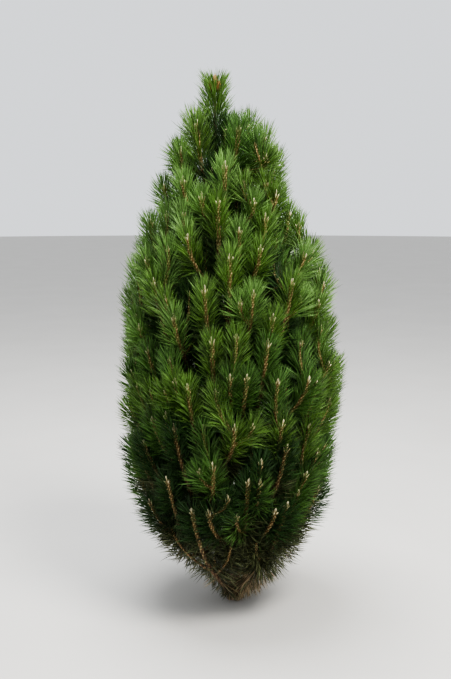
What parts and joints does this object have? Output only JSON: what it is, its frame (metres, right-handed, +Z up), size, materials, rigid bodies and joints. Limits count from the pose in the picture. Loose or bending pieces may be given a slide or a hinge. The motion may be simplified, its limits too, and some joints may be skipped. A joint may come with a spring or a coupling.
{
  "type": "pine tree",
  "caption": "Young upright pine, rooted in the ground: a slightly leaning trunk, boughs that turn up at their ends, and a dense flame-shaped crown of long stiff needles.",
  "frame": {"origin": "middle of the flat cut under the trunk, at ground level", "axes": "+Z up, +X to the right of the picture's view, -Y towards its camera"},
  "size_m": [0.9569, 0.971, 2.282],
  "materials": {
    "trunk_bark": "grey-brown bark in rough flaking plates, matt",
    "bough_bark": "red-brown to tan bark, ringed with the scales where needles stood, matt",
    "needles": "stiff mid green needles with a soft waxy sheen, fresher at the tips"
  },
  "bodies": {
    "root": {"bough_whorl2_1": "bough_bark", "bough_whorl2_2": "bough_bark", "bough_whorl2_3": "bough_bark", "bough_whorl2_4": "bough_bark", "bough_whorl2_5": "bough_bark", "bough_whorl3_1": "bough_bark", "bough_whorl3_2": "bough_bark", "bough_whorl3_3": "bough_bark", "bough_whorl3_4": "bough_bark", "bough_whorl3_5": "bough_bark", "bough_whorl4_1": "bough_bark", "bough_whorl4_2": "bough_bark", "bough_whorl4_3": "bough_bark", "bough_whorl4_4": "bough_bark", "bough_whorl4_5": "bough_bark", "foliage_leader": "needles", "foliage_whorl1_1": "needles", "foliage_whorl1_2": "needles", "foliage_whorl1_3": "needles", "foliage_whorl1_4": "needles", "foliage_whorl2_1": "needles", "foliage_whorl2_2": "needles", "foliage_whorl2_3": "needles", "foliage_whorl2_4": "needles", "foliage_whorl2_5": "needles", "foliage_whorl3_1": "needles", "foliage_whorl3_2": "needles", "foliage_whorl3_3": "needles", "foliage_whorl3_4": "needles", "foliage_whorl3_5": "needles", "foliage_whorl4_1": "needles", "foliage_whorl4_2": "needles", "foliage_whorl4_3": "needles", "foliage_whorl4_4": "needles", "foliage_whorl4_5": "needles", "foliage_whorl5_1": "needles", "foliage_whorl5_2": "needles", "foliage_whorl5_3": "needles", "foliage_whorl5_4": "needles", "foliage_whorl5_5": "needles", "foliage_whorl5_6": "needles", "foliage_whorl6_1": "needles", "foliage_whorl6_2": "needles", "foliage_whorl6_3": "needles", "foliage_whorl6_4": "needles", "foliage_whorl6_5": "needles", "foliage_whorl7_1": "needles", "foliage_whorl7_2": "needles", "foliage_whorl7_3": "needles", "foliage_whorl7_4": "needles", "foliage_whorl7_5": "needles", "foliage_whorl8_1": "needles", "foliage_whorl8_2": "needles", "foliage_whorl8_3": "needles", "foliage_whorl8_4": "needles", "foliage_whorl9_1": "needles", "foliage_whorl9_2": "needles", "foliage_whorl9_3": "needles", "trunk": "trunk_bark"}
  },
  "joints": []
}
